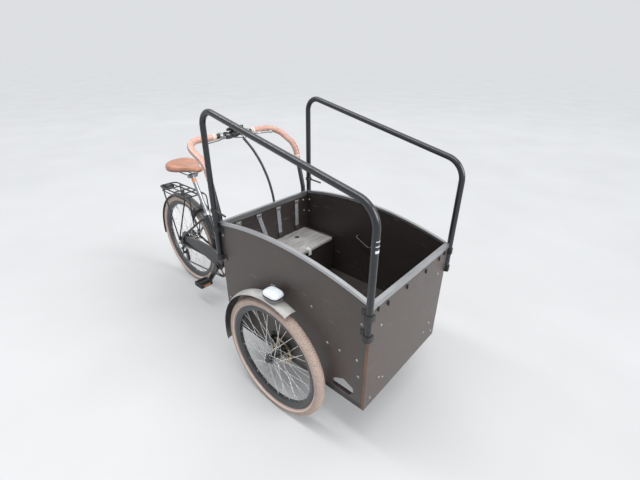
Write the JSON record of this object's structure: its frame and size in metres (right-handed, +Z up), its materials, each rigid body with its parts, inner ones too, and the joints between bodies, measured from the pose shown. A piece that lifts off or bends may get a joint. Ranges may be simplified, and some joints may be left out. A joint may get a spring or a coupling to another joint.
{
  "type": "electric cargo trike",
  "caption": "Cargo trike with an open wooden box between the front wheels, canopy rails, hoop handlebar and one rear wheel; the box steers on a kingpin.",
  "frame": {"origin": "centre of the plan outline, on the ground", "axes": "+X forward, +Y to the rider's left, +Z up"},
  "size_m": [2.108, 0.8206, 1.3423],
  "materials": {
    "panel_board": "dark film-faced plywood, matt",
    "trim_aluminium": "brushed",
    "bench_board": "worn pale grey board",
    "frame_black": "satin black powder coat",
    "steel_bright": "bright",
    "rotor_steel": "heat-tinted brushed",
    "guard_grey": "satin dark grey",
    "tyre_tan": "tan rubber",
    "rim_black": "satin black",
    "spokes_silver": "bright",
    "leather_brown": "semi-gloss",
    "grip_brown": "wrapped and stitched",
    "lamp_black": "gloss",
    "lamp_clear": "white translucent",
    "plastic_black": "matt",
    "cable_black": "matt",
    "belt_webbing": "pale grey webbing",
    "lamp_red": "translucent red",
    "post_silver": "satin silver",
    "chain_steel": "oiled"
  },
  "bodies": {
    "rear_frame": {"rear_frame": "frame_black", "rear_axle": "steel_bright", "seat_post": "post_silver", "seat_collar": "steel_bright", "saddle": "leather_brown", "rack": "frame_black", "rear_mudguard": "guard_grey", "chain": "chain_steel", "chain_guard": "guard_grey", "tail_lamp": "lamp_red", "battery_case": "plastic_black", "ring_lock": "plastic_black", "derailleur": "frame_black"},
    "front_carrier": {"box_side_right": "panel_board", "box_side_left": "panel_board", "box_front": "panel_board", "box_rear": "panel_board", "box_floor": "panel_board", "side_trims": "trim_aluminium", "end_trims": "trim_aluminium", "bench_seat": "bench_board", "bench_riser": "panel_board", "bench_cleats": "panel_board", "subframe": "frame_black", "kingpin": "steel_bright", "stub_axles": "frame_black", "front_mudguards": "guard_grey", "canopy_rails": "frame_black", "rail_clamps": "plastic_black", "grips": "grip_brown", "brake_calipers": "frame_black", "headlamp_housings": "lamp_black", "headlamp_caps": "lamp_clear", "handlebar": "frame_black", "handlebar_clamps": "frame_black", "brake_levers": "lamp_black", "display_and_shifter": "plastic_black", "cable_sleeve": "cable_black", "cable_gland": "plastic_black", "turn_studs": "plastic_black", "side_handles": "steel_bright", "seat_belts": "belt_webbing", "control_cables": "cable_black"},
    "front_wheel_right": {"front_tyre_right": "tyre_tan", "front_rim_right": "rim_black", "front_spoked_hub_right": "spokes_silver", "front_brake_rotor_right": "rotor_steel"},
    "front_wheel_left": {"front_tyre_left": "tyre_tan", "front_rim_left": "rim_black", "front_spoked_hub_left": "spokes_silver", "front_brake_rotor_left": "rotor_steel"},
    "rear_wheel": {"rear_tyre": "tyre_tan", "rear_rim": "rim_black", "rear_spoked_hub": "spokes_silver", "rear_sprocket": "chain_steel"},
    "cranks": {"crank_set": "frame_black", "chainring": "chain_steel"},
    "pedal_right": {"pedal_right": "plastic_black"},
    "pedal_left": {"pedal_left": "plastic_black"}
  },
  "joints": [
    {"name": "steering", "type": "hinge", "parent": "rear_frame", "child": "front_carrier", "pos_m": [0.279, 0, 0.288], "axis": [0, 0, 1], "range_deg": [-35, 35]},
    {"name": "front_right_spin", "type": "hinge", "parent": "front_carrier", "child": "front_wheel_right", "pos_m": [0.579, -0.367, 0.303], "axis": [0, 1, 0], "continuous": true},
    {"name": "front_left_spin", "type": "hinge", "parent": "front_carrier", "child": "front_wheel_left", "pos_m": [0.579, 0.367, 0.303], "axis": [0, 1, 0], "continuous": true},
    {"name": "rear_spin", "type": "hinge", "parent": "rear_frame", "child": "rear_wheel", "pos_m": [-0.711, 0, 0.33], "axis": [0, 1, 0], "continuous": true},
    {"name": "crank_spin", "type": "hinge", "parent": "rear_frame", "child": "cranks", "pos_m": [-0.291, 0, 0.292], "axis": [0, 1, 0], "continuous": true},
    {"name": "pedal_right_spin", "type": "hinge", "parent": "cranks", "child": "pedal_right", "pos_m": [-0.38564, -0.13, 0.15684], "axis": [0, 1, 0], "continuous": true},
    {"name": "pedal_left_spin", "type": "hinge", "parent": "cranks", "child": "pedal_left", "pos_m": [-0.19636, 0.13, 0.42716], "axis": [0, 1, 0], "continuous": true}
  ]
}
